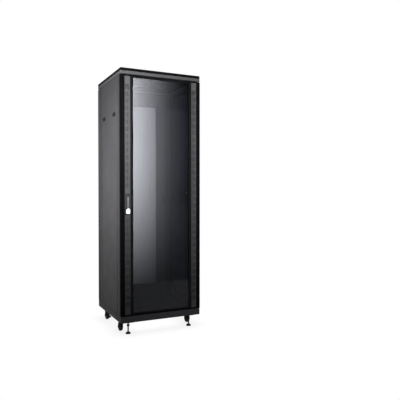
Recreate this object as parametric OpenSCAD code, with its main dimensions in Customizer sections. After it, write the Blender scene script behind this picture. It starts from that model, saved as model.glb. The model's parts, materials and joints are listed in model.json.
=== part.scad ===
// Free-standing 19 inch network cabinet: glazed front door, steel rear door,
// lift-off side panels, adjustable-height feet and four swivel casters.
// Millimetres, +Z up, front towards -Y, origin on the floor at the footprint centre.

/* [Overall size] */
// Overall width of the cabinet
cabinet_w = 600; // [580:5:800]
// Overall depth over the closed doors
cabinet_d = 600; // [500:5:1000]
// Height of the equipment space in rack units
rack_units = 37; // [27:1:47]
// Height of the base above the floor, taken up by feet and casters
ground_gap = 89; // [86:1:110]

/* [Base and roof] */
// Height of the folded base frame
base_h = 44; // [36:1:80]
// Height of the roof frame below the cover
roof_frame_h = 20; // [16:1:40]
// Height of the roof cover
roof_cover_h = 20; // [16:1:40]
// Radius of the upright corners of base and roof
corner_r = 10; // [4:1:16]
// Sheet thickness of base, roof frame, posts and rails
frame_t = 2; // [1.5:0.1:3]
// Sheet thickness of doors, covers and the floor panel
cover_t = 1.5; // [1:0.1:2]

/* [Posts and rails] */
// Width of a corner post, across the cabinet
post_w = 46; // [40:1:60]
// Depth of a front corner post
front_post_d = 60; // [50:1:90]
// Depth of a rear corner post
rear_post_d = 74; // [50:1:90]
// Distance from the front of the cabinet to the face of the front rails
front_rail_set = 95; // [85:1:160]
// Distance from the back of the cabinet to the face of the rear rails
rear_rail_set = 125; // [110:1:180]
// Depth of a rail's web
rail_web_d = 45; // [30:1:60]

/* [Doors] */
// Depth of both doors
door_t = 27; // [24:1:32]
// Width of the solid stile along each edge of the front door
stile_w = 30; // [28:1:45]
// Width of the slotted strip beside the glass
vent_w = 40; // [34:1:60]
// Height of a slot in the slotted strip
slot_l = 34; // [20:1:40]
// Width of the rubber frame along the sides of the glass
gasket_w = 17; // [10:1:20]
// Thickness of the glass
glass_t = 5; // [4:1:6]
// Height of the lock centre above the floor
lock_z = 905; // [800:5:1000]
// Diameter of the hinge pins
hinge_pin_d = 8; // [6:1:10]

/* [Side panels] */
// Distance from the front of the cabinet to the side panel
side_set_front = 102; // [96:1:120]
// Distance from the back of the cabinet to the side panel
side_set_rear = 116; // [111:1:130]
// Depth of the folded edge of a side panel
side_fold = 14; // [10:1:20]
// Depth of the latches below the top of the cabinet
latch_drop = 297; // [200:1:400]

/* [Feet and casters] */
// Diameter of a caster wheel
wheel_d = 62; // [50:1:64]
// Distance from the side of the cabinet to a caster's swivel
caster_in_x = 40; // [38:1:60]
// Distance from the front or back to a caster's swivel
caster_in_y = 125; // [120:1:150]
// Distance from the swivel to the wheel's axle
caster_trail = 20; // [16:1:24]
// Diameter of a foot's pad
foot_d = 36; // [30:1:40]
// Diameter of a foot's stud
stud_d = 10; // [8:1:12]

/* [Fans] */
// Width of a fan
fan_w = 119; // [92:1:119]
// Distance of each fan from the middle of the roof
fan_offset = 75; // [70:1:110]

/* [Hidden] */
$fn = 48;

// --- standard sizes of 19 inch racks
rack_unit = 44.45;
rack_hole_pitch = 465.1;            // between the hole columns of a pair of rails
rack_clear_w = 450;                 // between the faces of a pair of rails
rack_hole = 9.5;                    // square hole for a cage nut
rack_hole_heights = [6.35, 22.225, 38.1];

// --- clearances
run_fit = 0.05;                     // radial, on pins, shafts and plugs
loose_fit = 0.3;                    // radial, on studs and screws
panel_gap = 1;                      // around a fitted panel
rod_gap = 1.5;                      // from a lock rod's tip to its keeper
slide_gap = 0.2;                    // between sliding faces
seat_gap = 0.1;                     // under a bolt's head
cut = 1;                            // by which a cut runs past the face that it opens

// --- heights
half_w = cabinet_w / 2;
half_d = cabinet_d / 2;
base_top = ground_gap + base_h;
rail_end_gap = 7.7;
rail_z0 = base_top + rail_end_gap;
rail_h = rack_units * rack_unit;
head_z = rail_z0 + rail_h + rail_end_gap;
roof_z = head_z + roof_frame_h;
top_z = roof_z + roof_cover_h;

// --- frame details
side_lip = 20;
front_lip = 30;
gusset = 110;
base_flange = 90;
anchor_x = half_w - 45;
anchor_y = half_d - caster_in_y - 65;
anchor_r = 6.5;
eyebolt_in = 50;
eyebolt_r = 6.5;
floor_hole_w = 280;
floor_hole_d = 84;
floor_hole_y = half_d - 218;        // front edge of the cable entry
cover_lap = 8;
guide_h = 5;
guide_lap = 6;
cover_grip_w = 80;
cover_grip_t = 3;
cover_grip_h = 12;

// --- posts, rails and braces
side_face = half_w - 4;             // plane of posts and side panels
post_gap = 9;                       // behind a closed door
post_y = half_d - door_t - post_gap;
post_flange = 40;
rail_in = rack_clear_w / 2;
rail_out = rail_in + 22;
front_rail_y = front_rail_set - half_d;
rear_rail_y = half_d - rear_rail_set;
brace_h = 40;
brace_gap = 12;                     // from a brace to the fold of the side panel
brace_w = side_face - side_fold - brace_gap - rail_out;
brace_heights = [rail_z0, rail_z0 + rail_h / 2, rail_z0 + rail_h - brace_h];
m6_r = 3;
m6_head_r = 5;
m6_head_h = 4;
screw_reach = 12;                   // of a screw beyond the face that it clamps

// --- doors
door_gap_low = 3;
door_gap_top = 6;
door_z0 = base_top + door_gap_low;
door_z1 = head_z - door_gap_top;
door_x = half_w - 1;
door_y = half_d - 1;
door_back = door_y - door_t;
hinge_x = half_w - 12;
hinge_y = half_d - 14;
hinge_sleeve_r = hinge_pin_d / 2 + 4;
hinge_sleeve_h = 25;
hinge_pin_reach = 18;
hinge_collar_r = hinge_pin_d / 2 + 2;
collar_gap = 0.5;
divider_w = 3;
glass_margin = 8;
gasket_end_w = 8;                   // of the rubber frame above and below the glass
glass_set = 3;                      // of the glass behind the front of the door
glass_x = half_w - stile_w - vent_w - divider_w;
vent_x0 = glass_x + divider_w;
vent_x1 = half_w - stile_w;
front_lip_w = 34;
end_lip_w = 22;
tube_w = 14;
tube_y0 = door_y - 10;
tube_y1 = door_back + 3;
vent_t = 1.2;
vent_lap = 3;
slot_w = 5;
slot_pitch = 48;
slot_columns = [-11, 0, 11];
slot_end = 34;
seal_w = 8;
seal_t = 7;
seal_in = 24;
seal_end = 4;
stiffener_in_x = 116;               // from the side of the cabinet to the stiffened middle
stiffener_in_z = 100;               // from the base or roof frame to the stiffened middle
stiffener_w = 30;
stiffener_h = 15;

// --- front lock
lock_x = -(vent_x0 + vent_x1) / 2;
lock_plate_w = vent_w + 4;
lock_plate_h = 144;
lock_plate_t = 4;
plate_y = -door_y - lock_plate_t;   // front of the lock plate
spindle_z = lock_z + 46;
spindle_r = 9;
spindle_head_r = 11;
shaft_r = 5;
cam_r = 16;
lever_w = 13;
lever_t = 7;
lever_l = 74;
lever_y = plate_y - 6;
lever_pin_r = 2;
lever_pin_lug = 2;                  // of the pin beyond each side of the lever
clevis_t = 2.5;
clevis_h = 9;
clevis_gap = 0.3;
spindle_head_t = 2;
cam_disc_t = 3;
cam_disc_gap = 0.5;                 // from the cam disc to the rods
key_z = lock_z - 49;
key_r = 6;
key_proud = 0.6;
key_slot = [2, 8];                  // width and height
key_slot_d = 1.5;
cylinder_w = 26;
cylinder_h = 34;
cylinder_t = 7;
hole_gap = 1;                       // radial, around the lock's shafts
rod_w = 10;
rod_t = 4;
rod_offset = 8;
rod_y = -door_back - 8.5;
rod_overlap = 8;
guide_spacing = 230;
guide_t = 2;
rod_slot_gap = 0.5;                 // around a rod in its guides

// --- rear and side locks
rear_lock_x = half_w - 72;
rear_lock_z = lock_z + 37;
barrel_r = 10;
barrel_flange_r = 17;
barrel_flange_t = 3;
barrel_behind = 2;                  // of the barrel behind the door's inner face
plug_r = 7;
cam_w = 14;
cam_t = 3;
rear_cam_l = 38;
cam_behind = 2;
side_lock_z = top_z - 69;
side_lock_y = (side_set_front - side_set_rear) / 2;
side_lock_r = 9;
side_lock_flange_r = 11;
side_lock_proud = 2.5;
side_lock_tail = 6;                 // of the barrel inside the panel's fold
side_cam_l = 34;
plug_proud = 0.4;

// --- side panels and latches
panel_t = 1.2;
panel_y0 = side_set_front - half_d;
panel_y1 = half_d - side_set_rear;
panel_z0 = base_top + panel_gap;
panel_z1 = head_z - 2 * panel_gap;
latch_z = top_z - latch_drop;
latch_in = 60;                      // from the panel's edge to a latch
latch_w = 62;
latch_h = 27;
latch_face_t = 2.8;
latch_neck = 8;
latch_gap = 0.5;
latch_back_t = 3;
latch_back_h = 20;
latch_back_l = 15;                  // of the back plate to each side of the neck
latch_tongue_l = 30;
latch_travel = 12;

// --- casters and feet
caster_x = half_w - caster_in_x;
caster_y = half_d - caster_in_y;
caster_plate_w = 60;
caster_plate_t = 3;
caster_bolt = 22;
plate_corner_r = 5;
race_r = 20;
race_h = 4;
race_gap = 0.5;
crown_r = 22;
crown_t = 4;
crown_top = ground_gap - caster_plate_t - race_h - race_gap;
crown_z = crown_top - crown_t;
kingpin_r = 5;
kingpin_head_r = 8;
kingpin_head_h = 3;
wheel_w = 22;
wheel_r = wheel_d / 2;
wheel_lift = 1;
axle_z = wheel_lift + wheel_r;
axle_r = 4;
ear_gap = 2;
ear_t = 2.5;
ear_in = wheel_w / 2 + ear_gap;
ear_r = 10;
hub_r = 19;
hub_boss_r = 9;
hub_recess = 1.5;
tread_r = 3;
axle_head_r = 7;
axle_head_h = 3;
pedal_pivot_y = caster_trail + 5;
pedal_pivot_z = axle_z + wheel_r + 7;
pedal_pin_r = 3;
pedal_sleeve_r = 5;
pedal_reach = 33;
pedal_tilt = 8;
pedal_t = [0.5, 3.5];
pedal_rib_pitch = 5;
pedal_rib_w = 2;
pedal_rib_h = 5;
pedal_boss = 6;
foot_x = half_w - 68;
foot_y = half_d - 54;
foot_plate_w = 68;
foot_plate_d = 60;
foot_plate_t = 8;
foot_pad_h = 5;
foot_dome_h = 8;
stud_top = ground_gap + 28;
nut_h = 8;
nut_r = 9.8;
foot_hex_h = 10;
foot_hex_drop = 9;                  // from the lock nut to the foot's own hexagon
foot_hex_z = ground_gap - foot_plate_t - nut_h - foot_hex_drop - foot_hex_h;
foot_hex_r = 11;

// --- fans
fan_t = 38;
fan_top = top_z - cover_t;
fan_z = fan_top - fan_t;
fan_wall = 3.5;
fan_bore_r = fan_w / 2 - fan_wall;
fan_hub_r = 19;
fan_hub_h = 6;
fan_pin_r = 2.5;
fan_strut_w = 6;
fan_blades = 7;
blade_pitch = 40;
blade_chord = 24;
blade_t = 2;
fan_screw_in = 7;
fan_screw_r = 2.2;
fan_pin_end = 8;                    // from the top of a fan to its pin
rotor_gap = 1;
rotor_drop = 3;
fan_slot_w = 6;
fan_slot_pitch = 12;
fan_slot_margin = 4;
guard_t = 2;
guard_pitch = 12;
guard_rings = [for (i = [0:3]) fan_bore_r - 2 - i * guard_pitch];
guard_ear_w = 6;

// ---------------------------------------------------------------- helpers

module block(x, y, z) {
    translate([x[0], y[0], z[0]])
        cube([x[1] - x[0], y[1] - y[0], z[1] - z[0]]);
}

module rounded_rect(w, d, r) {
    square([w - 2 * r, d], center = true);
    square([w, d - 2 * r], center = true);
    for (sx = [-1, 1], sy = [-1, 1])
        translate([sx * (w / 2 - r), sy * (d / 2 - r)]) circle(r);
}

// A rod or hole along Y, from y0 to y1, centred on x and z
module along_y(x, z, y0, y1, r) {
    translate([x, y0, z]) rotate([-90, 0, 0]) cylinder(r = r, h = y1 - y0);
}

// The same along X
module along_x(y, z, x0, x1, r) {
    translate([x0, y, z]) rotate([0, 90, 0]) cylinder(r = r, h = x1 - x0);
}

// Shapes are drawn on the right-hand side, and side = -1 mirrors them to the left
module on_side(side) {
    mirror([side < 0 ? 1 : 0, 0, 0]) children();
}

// Shapes are drawn at the back, and end = -1 mirrors them to the front
module on_end(end) {
    mirror([0, end < 0 ? 1 : 0, 0]) children();
}

module on_corner(side, end) {
    on_side(side) on_end(end) children();
}

module every_corner() {
    for (side = [-1, 1], end = [-1, 1]) on_corner(side, end) children();
}

// ---------------------------------------------------------------- base and feet

// Flat ring with wider sides, ends and corners, seen from above
module flange_2d(side_w, end_w, corner_w, corner_d) {
    difference() {
        rounded_rect(cabinet_w - frame_t, cabinet_d - frame_t, corner_r - frame_t / 2);
        difference() {
            square([cabinet_w - 2 * side_w, cabinet_d - 2 * end_w], center = true);
            for (side = [-1, 1], end = [-1, 1])
                translate([side * half_w, end * half_d])
                    square([2 * corner_w, 2 * corner_d], center = true);
        }
    }
}

module skirt_2d(t) {
    difference() {
        rounded_rect(cabinet_w, cabinet_d, corner_r);
        rounded_rect(cabinet_w - 2 * t, cabinet_d - 2 * t, corner_r - t);
    }
}

module rod_keeper(x) {
    block([x - rod_w / 2 - rod_gap, x + rod_w / 2 + rod_gap],
          [rod_y - rod_gap, rod_y + rod_t + rod_gap],
          [ground_gap + frame_t, top_z]);
}

module base_frame() {
    color("dimgray") difference() {
        union() {
            translate([0, 0, ground_gap]) linear_extrude(base_h) skirt_2d(frame_t);
            translate([0, 0, ground_gap]) linear_extrude(frame_t)
                flange_2d(base_flange, base_flange, base_flange, base_flange);
            translate([0, 0, base_top - frame_t]) linear_extrude(frame_t)
                flange_2d(side_lip, front_lip, half_w - side_face + post_w, gusset);
        }
        for (side = [-1, 1], end = [-1, 1]) {
            translate([side * foot_x, end * foot_y, 0])
                cylinder(r = stud_d / 2 + loose_fit, h = base_top);
            translate([side * anchor_x, end * anchor_y, 0])
                cylinder(r = anchor_r, h = ground_gap + 2 * frame_t);
            for (bx = [-1, 1], by = [-1, 1])
                translate([side * caster_x + bx * caster_bolt,
                           end * caster_y + by * caster_bolt, 0])
                    cylinder(r = m6_r + loose_fit, h = ground_gap + 2 * frame_t);
        }
        rod_keeper(lock_x - rod_offset);
    }
}

module foot_plates() {
    color("dimgray") every_corner() translate([foot_x, foot_y, 0]) difference() {
        translate([0, 0, ground_gap - foot_plate_t]) linear_extrude(foot_plate_t)
            rounded_rect(foot_plate_w, foot_plate_d, plate_corner_r);
        cylinder(r = stud_d / 2 + loose_fit, h = ground_gap);
    }
}

module foot_lock_nuts() {
    color("silver") every_corner()
        translate([foot_x, foot_y, ground_gap - foot_plate_t - nut_h]) difference() {
            cylinder(r = nut_r, h = nut_h, $fn = 6);
            translate([0, 0, -cut]) cylinder(r = stud_d / 2 + loose_fit, h = nut_h + 2 * cut);
        }
}

module foot(side, end) {
    color("black") translate([side * foot_x, end * foot_y, 0]) {
        cylinder(d = foot_d, h = foot_pad_h);
        translate([0, 0, foot_pad_h]) cylinder(d1 = foot_d, d2 = foot_d / 2, h = foot_dome_h);
        cylinder(d = stud_d, h = stud_top);
        translate([0, 0, foot_hex_z]) cylinder(r = foot_hex_r, h = foot_hex_h, $fn = 6);
    }
}

module foot_front_left() { foot(-1, -1); }
module foot_front_right() { foot(1, -1); }
module foot_rear_left() { foot(-1, 1); }
module foot_rear_right() { foot(1, 1); }

// ---------------------------------------------------------------- casters

module caster_plates() {
    color("silver") for (side = [-1, 1], end = [-1, 1])
        translate([side * caster_x, end * caster_y, 0]) difference() {
            union() {
                translate([0, 0, ground_gap - caster_plate_t]) linear_extrude(caster_plate_t)
                    rounded_rect(caster_plate_w, caster_plate_w, plate_corner_r);
                translate([0, 0, crown_top + race_gap]) cylinder(r = race_r, h = race_h);
                translate([0, 0, crown_z - race_gap]) cylinder(r = kingpin_r, h = crown_t + race_h);
                translate([0, 0, crown_z - race_gap - kingpin_head_h])
                    cylinder(r = kingpin_head_r, h = kingpin_head_h);
            }
            for (bx = [-1, 1], by = [-1, 1])
                translate([bx * caster_bolt, by * caster_bolt, ground_gap - 2 * caster_plate_t])
                    cylinder(r = m6_r + loose_fit, h = 3 * caster_plate_t);
        }
}

// Side plate of a fork, in the plane across the axle
module fork_ear_2d() {
    polygon([[-crown_r / 2, crown_top], [crown_r * 0.7, crown_top],
             [caster_trail + ear_r, axle_z], [caster_trail - ear_r, axle_z]]);
    translate([caster_trail, axle_z]) circle(ear_r);
}

module fork_body(braked) {
    difference() {
        union() {
            translate([0, 0, crown_z]) cylinder(r = crown_r, h = crown_t);
            for (side = [-1, 1])
                translate([side * (ear_in + ear_t / 2) - ear_t / 2, 0, 0])
                    rotate([90, 0, 90]) linear_extrude(ear_t) fork_ear_2d();
            if (braked)
                for (side = [-1, 1])
                    translate([side * (ear_in + ear_t / 2) - ear_t / 2, 0, 0])
                        rotate([90, 0, 90]) linear_extrude(ear_t)
                            polygon([[0, crown_top], [crown_r * 0.7, crown_top],
                                     [pedal_pivot_y + pedal_boss, pedal_pivot_z + pedal_boss - 2],
                                     [pedal_pivot_y + pedal_boss, pedal_pivot_z - pedal_boss],
                                     [caster_trail, axle_z]]);
        }
        translate([0, 0, crown_z - cut])
            cylinder(r = kingpin_r + run_fit, h = crown_t + 2 * cut);
        along_x(caster_trail, axle_z, -ear_in - 2 * ear_t, ear_in + 2 * ear_t, axle_r + run_fit);
    }
    if (braked)
        along_x(pedal_pivot_y, pedal_pivot_z, -ear_in - ear_t, ear_in + ear_t, pedal_pin_r);
}

module axle_bolt() {
    reach = ear_in + ear_t + seat_gap;
    along_x(caster_trail, axle_z, -reach, reach, axle_r);
    for (head = [-reach - axle_head_h, reach])
        translate([head, caster_trail, axle_z]) rotate([0, 90, 0])
            cylinder(r = axle_head_r, h = axle_head_h, $fn = 6);
}

module caster_fork(side, end) {
    color("silver") translate([side * caster_x, end * caster_y, 0]) {
        fork_body(end > 0);
        axle_bolt();
    }
}

module caster_wheel(side, end) {
    bore = axle_r + run_fit;
    color("dimgray") translate([side * caster_x, end * caster_y + caster_trail, axle_z])
        rotate([0, 90, 0]) rotate_extrude($fn = 64) difference() {
            union() {
                translate([bore, -wheel_w / 2]) square([wheel_r - tread_r - bore, wheel_w]);
                translate([bore, tread_r - wheel_w / 2])
                    square([wheel_r - bore, wheel_w - 2 * tread_r]);
                for (s = [-1, 1])
                    translate([wheel_r - tread_r, s * (wheel_w / 2 - tread_r)]) circle(tread_r);
            }
            for (s = [-1, 1])
                translate([hub_boss_r, s * wheel_w / 2 - hub_recess])
                    square([hub_r - hub_boss_r, 2 * hub_recess]);
        }
}

module brake_pedal(side) {
    color("black") translate([side * caster_x, caster_y + pedal_pivot_y, pedal_pivot_z])
        difference() {
            union() {
                along_x(0, 0, -wheel_w / 2, wheel_w / 2, pedal_sleeve_r);
                rotate([pedal_tilt, 0, 0]) {
                    half = wheel_w / 2 - panel_gap;
                    block([-half, half], [pedal_sleeve_r - 3, pedal_reach], pedal_t);
                    for (rib = [1:4])
                        translate([0, pedal_reach - rib * pedal_rib_pitch, 0])
                            block([pedal_rib_w - half, half - pedal_rib_w], [0, pedal_rib_w],
                                  [pedal_t[0] + cut, pedal_rib_h]);
                }
            }
            along_x(0, 0, -wheel_w, wheel_w, pedal_pin_r + run_fit);
        }
}

module caster_fork_front_left() { caster_fork(-1, -1); }
module caster_fork_front_right() { caster_fork(1, -1); }
module caster_fork_rear_left() { caster_fork(-1, 1); }
module caster_fork_rear_right() { caster_fork(1, 1); }
module caster_wheel_front_left() { caster_wheel(-1, -1); }
module caster_wheel_front_right() { caster_wheel(1, -1); }
module caster_wheel_rear_left() { caster_wheel(-1, 1); }
module caster_wheel_rear_right() { caster_wheel(1, 1); }
module brake_pedal_left() { brake_pedal(-1); }
module brake_pedal_right() { brake_pedal(1); }

// ---------------------------------------------------------------- frame

module floor_panel() {
    centre_x = side_face - post_w - 2 * panel_gap;
    wing_x = side_face - side_fold - 2 * panel_gap;
    end_y = post_y - 2 * panel_gap;
    cover_x = floor_hole_w / 2 + cover_lap + slide_gap;
    guide_y = [floor_hole_y - floor_hole_d, floor_hole_y + floor_hole_d + cover_lap];
    color("gray") difference() {
        union() {
            block([-centre_x, centre_x], [-end_y, end_y], [base_top, base_top + cover_t]);
            block([-wing_x, wing_x], [panel_y0 + 2 * panel_gap, panel_y1 - 2 * panel_gap],
                  [base_top, base_top + cover_t]);
            for (side = [-1, 1]) on_side(side) {
                block([cover_x, cover_x + cover_t], guide_y,
                      [base_top + cover_t, base_top + cover_t + guide_h]);
                block([cover_x - guide_lap, cover_x + cover_t], guide_y,
                      [base_top + cover_t + guide_h - cover_t, base_top + cover_t + guide_h]);
            }
        }
        block([-floor_hole_w / 2, floor_hole_w / 2], [floor_hole_y, floor_hole_y + floor_hole_d],
              [base_top - cut, base_top + 2 * cover_t]);
    }
}

module floor_cable_cover() {
    cover_x = floor_hole_w / 2 + cover_lap;
    z0 = base_top + cover_t + slide_gap;
    color("gray") {
        block([-cover_x, cover_x],
              [floor_hole_y - cover_lap, floor_hole_y + floor_hole_d + cover_lap],
              [z0, z0 + cover_t]);
        block([-cover_grip_w / 2, cover_grip_w / 2],
              [floor_hole_y, floor_hole_y + cover_grip_t], [z0 + cover_t, z0 + cover_grip_h]);
    }
}

module post_section(depth) {
    translate([side_face - frame_t, post_y - depth]) square([frame_t, depth]);
    translate([side_face - post_w, post_y - frame_t]) square([post_w, frame_t]);
    translate([side_face - post_flange, post_y - depth]) square([post_flange, frame_t]);
}

module post(side, end, depth) {
    color("dimgray") on_corner(side, end) translate([0, 0, base_top])
        linear_extrude(head_z - base_top) post_section(depth);
}

module post_front_left() { post(-1, -1, front_post_d); }
module post_front_right() { post(1, -1, front_post_d); }
module post_rear_left() { post(-1, 1, rear_post_d); }
module post_rear_right() { post(1, 1, rear_post_d); }

// L-shaped rail with three square holes in every rack unit, drawn for the right rear
module rail(side, end, face_y) {
    color("silver") on_corner(side, end) difference() {
        union() {
            translate([0, face_y, rail_z0]) rotate([90, 0, 0]) linear_extrude(frame_t)
                difference() {
                    translate([rail_in, 0]) square([rail_out - rail_in, rail_h]);
                    for (u = [0:rack_units - 1], h = rack_hole_heights)
                        translate([rack_hole_pitch / 2, u * rack_unit + h])
                            square(rack_hole, center = true);
                }
            block([rail_out - frame_t, rail_out], [face_y - rail_web_d, face_y],
                  [rail_z0, rail_z0 + rail_h]);
        }
        for (z = brace_heights)
            along_x(face_y - rail_web_d / 2, z + brace_h / 2, rail_in, half_w, m6_r + loose_fit);
    }
}

module rail_front_left() { rail(-1, -1, -front_rail_y); }
module rail_front_right() { rail(1, -1, -front_rail_y); }
module rail_rear_left() { rail(-1, 1, rear_rail_y); }
module rail_rear_right() { rail(1, 1, rear_rail_y); }

module side_braces() {
    y0 = -(post_y - front_post_d);
    y1 = post_y - rear_post_d;
    color("dimgray") for (side = [-1, 1], z = brace_heights) on_side(side) difference() {
        union() {
            block([rail_out, rail_out + frame_t], [y0, y1], [z, z + brace_h]);
            for (lip = [z, z + brace_h - frame_t])
                block([rail_out, rail_out + brace_w], [y0, y1], [lip, lip + frame_t]);
        }
        for (y = [front_rail_y + rail_web_d / 2, rear_rail_y - rail_web_d / 2])
            along_x(y, z + brace_h / 2, rail_in, half_w, m6_r + loose_fit);
    }
}

module frame_screws() {
    color("silver") {
        for (side = [-1, 1], z = brace_heights,
             y = [front_rail_y + rail_web_d / 2, rear_rail_y - rail_web_d / 2])
            on_side(side) {
                head_x = rail_out - frame_t;
                along_x(y, z + brace_h / 2, head_x - m6_head_h, head_x, m6_head_r);
                along_x(y, z + brace_h / 2, head_x - cut, head_x + screw_reach, m6_r);
            }
        for (side = [-1, 1], end = [-1, 1], bx = [-1, 1], by = [-1, 1])
            translate([side * caster_x + bx * caster_bolt, end * caster_y + by * caster_bolt,
                       ground_gap - caster_plate_t - m6_head_h]) {
                cylinder(r = m6_head_r, h = m6_head_h);
                cylinder(r = m6_r, h = m6_head_h + screw_reach);
            }
    }
}

module door_hinge_pins() {
    color("silver") for (end = [[1, -1], [-1, 1]])
        translate([end[0] * hinge_x, end[1] * hinge_y, 0]) {
            translate([0, 0, base_top])
                cylinder(d = hinge_pin_d, h = door_gap_low + hinge_pin_reach);
            translate([0, 0, base_top]) cylinder(r = hinge_collar_r, h = door_gap_low - collar_gap);
            translate([0, 0, door_z1 - hinge_pin_reach])
                cylinder(d = hinge_pin_d, h = door_gap_top + hinge_pin_reach);
            translate([0, 0, door_z1 + collar_gap])
                cylinder(r = hinge_collar_r, h = door_gap_top - collar_gap);
        }
}

// ---------------------------------------------------------------- roof

module roof_frame() {
    color("dimgray") difference() {
        union() {
            translate([0, 0, head_z]) linear_extrude(roof_frame_h) skirt_2d(frame_t);
            translate([0, 0, head_z]) linear_extrude(frame_t)
                flange_2d(side_lip, front_lip, half_w - side_face + post_w, gusset);
        }
        rod_keeper(lock_x + rod_offset);
    }
}

module roof_slab(inset, z, h) {
    translate([0, 0, z]) linear_extrude(h)
        rounded_rect(cabinet_w - 2 * inset, cabinet_d - 2 * inset, corner_r - inset);
}

// Parallel slots clipped to a circle, above a fan
module fan_slots_2d() {
    intersection() {
        circle(fan_bore_r - fan_slot_margin);
        for (i = [-4:4])
            translate([i * fan_slot_pitch, 0]) square([fan_slot_w, fan_w], center = true);
    }
}

module roof_cover() {
    edge = 3;
    color("black") difference() {
        hull($fn = 32) {
            roof_slab(0, roof_z, roof_cover_h - edge);
            roof_slab(edge, roof_z, roof_cover_h);
        }
        translate([0, 0, roof_z - cut])
            linear_extrude(roof_cover_h + cut - cover_t)
                rounded_rect(cabinet_w - 2 * edge, cabinet_d - 2 * edge, corner_r - edge);
        for (side = [-1, 1])
            translate([side * fan_offset, 0, roof_z]) linear_extrude(2 * roof_cover_h)
                fan_slots_2d();
        for (side = [-1, 1], end = [-1, 1])
            translate([side * (half_w - eyebolt_in), end * (half_d - eyebolt_in), roof_z])
                cylinder(r = eyebolt_r, h = 2 * roof_cover_h);
    }
}

module fan_housings() {
    color("black") for (side = [-1, 1]) translate([side * fan_offset, 0, fan_z]) {
        difference() {
            linear_extrude(fan_t) rounded_rect(fan_w, fan_w, plate_corner_r);
            translate([0, 0, -cut]) cylinder(r = fan_bore_r, h = fan_t + 2 * cut, $fn = 64);
            for (sx = [-1, 1], sy = [-1, 1])
                translate([sx * (fan_w / 2 - fan_screw_in), sy * (fan_w / 2 - fan_screw_in), -cut])
                    cylinder(r = fan_screw_r, h = fan_t + 2 * cut);
        }
        cylinder(r = fan_hub_r, h = fan_hub_h);
        cylinder(r = fan_pin_r, h = fan_t - fan_pin_end);
        for (a = [45:90:315])
            rotate([0, 0, a]) block([fan_hub_r - cut, fan_bore_r + cut],
                                    [-fan_strut_w / 2, fan_strut_w / 2], [0, 4]);
    }
}

module fan_guards() {
    color("silver") for (side = [-1, 1])
        translate([side * fan_offset, 0, fan_z - guard_t]) linear_extrude(guard_t) {
            for (r = guard_rings)
                difference() {
                    circle(r);
                    circle(r - guard_t);
                }
            for (a = [0, 90])
                rotate(a) square([2 * fan_bore_r, guard_t], center = true);
            for (a = [45:90:315])
                rotate(a) translate([guard_rings[0] - guard_t / 2, -guard_ear_w / 2])
                    square([norm([1, 1]) * (fan_w / 2 - fan_screw_in) - guard_rings[0] + guard_ear_w,
                            guard_ear_w]);
        }
}

module fan_rotor(side) {
    z0 = fan_z + fan_hub_h + rotor_gap;
    z1 = fan_z + fan_t - rotor_drop;
    blade_l = fan_bore_r - fan_hub_r;
    color("dimgray") translate([side * fan_offset, 0, 0]) difference() {
        union() {
            translate([0, 0, z0]) cylinder(r = fan_hub_r, h = z1 - z0);
            for (i = [0:fan_blades - 1])
                rotate([0, 0, i * 360 / fan_blades])
                    translate([fan_hub_r + blade_l / 2 - 2 * rotor_gap, 0, (z0 + z1) / 2])
                        rotate([blade_pitch, 0, 0])
                            cube([blade_l, blade_chord, blade_t], center = true);
        }
        translate([0, 0, z0 - rotor_gap])
            cylinder(r = fan_pin_r + run_fit, h = fan_t - fan_pin_end - fan_hub_h + rotor_gap);
    }
}

module fan_rotor_left() { fan_rotor(-1); }
module fan_rotor_right() { fan_rotor(1); }

// ---------------------------------------------------------------- doors

// Folded tray of a door, open towards the cabinet, drawn for the back
module door_tray(t, side_lip_w, end_lip) {
    outer_z = [door_z0, door_z1];
    difference() {
        block([-door_x, door_x], [door_back, door_y], outer_z);
        block([t - door_x, door_x - t], [door_back + t, door_y - t], [door_z0 + t, door_z1 - t]);
        block([side_lip_w - door_x, door_x - side_lip_w], [door_back - cut, door_back + 2 * t],
              [door_z0 + end_lip, door_z1 - end_lip]);
    }
}

// Sleeves for the hinge pins, top and bottom, drawn for the left rear corner
module hinge_sleeves() {
    for (z = [door_z0, door_z1 - hinge_sleeve_h])
        translate([-hinge_x, hinge_y, z]) cylinder(r = hinge_sleeve_r, h = hinge_sleeve_h);
}

module hinge_bores() {
    depth = hinge_pin_reach + 2;
    for (z = [door_z0 - cut, door_z1 - depth])
        translate([-hinge_x, hinge_y, z])
            cylinder(r = hinge_pin_d / 2 + run_fit, h = depth + cut);
}

// Square tube, open in the middle, from one corner to the other
module tube_along_z(x0, x1) {
    difference() {
        block([x0, x1], [tube_y1, tube_y0], [door_z0 + cover_t, door_z1 - cover_t]);
        block([x0 + cover_t, x1 - cover_t], [tube_y1 + cover_t, tube_y0 - cover_t],
              [door_z0, door_z1]);
    }
}

module tube_along_x(z0, z1) {
    difference() {
        block([-glass_x, glass_x], [tube_y1, tube_y0], [z0, z1]);
        block([-glass_x, glass_x], [tube_y1 + cover_t, tube_y0 - cover_t],
              [z0 + cover_t, z1 - cover_t]);
    }
}

module lock_rod_at(side, grow) {
    x = lock_x + side * rod_offset;
    reach = [spindle_z - rod_overlap, head_z - rod_gap];
    drop = [base_top + rod_gap, spindle_z + rod_overlap];
    span = side > 0 ? reach : drop;
    block([x - rod_w / 2 - grow, x + rod_w / 2 + grow],
          [rod_y - grow, rod_y + rod_t + grow], [span[0] - 4 * grow, span[1] + 4 * grow]);
}

// Plates that guide the lock rods behind the left slotted strip
module rod_guides() {
    for (side = [-1, 1], i = [1:3])
        block([-vent_x1 + panel_gap, -vent_x0 + cover_t],
              [-door_y + cover_t + vent_t, -door_back - panel_gap],
              [spindle_z + side * i * guide_spacing,
               spindle_z + side * i * guide_spacing + guide_t]);
}

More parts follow.
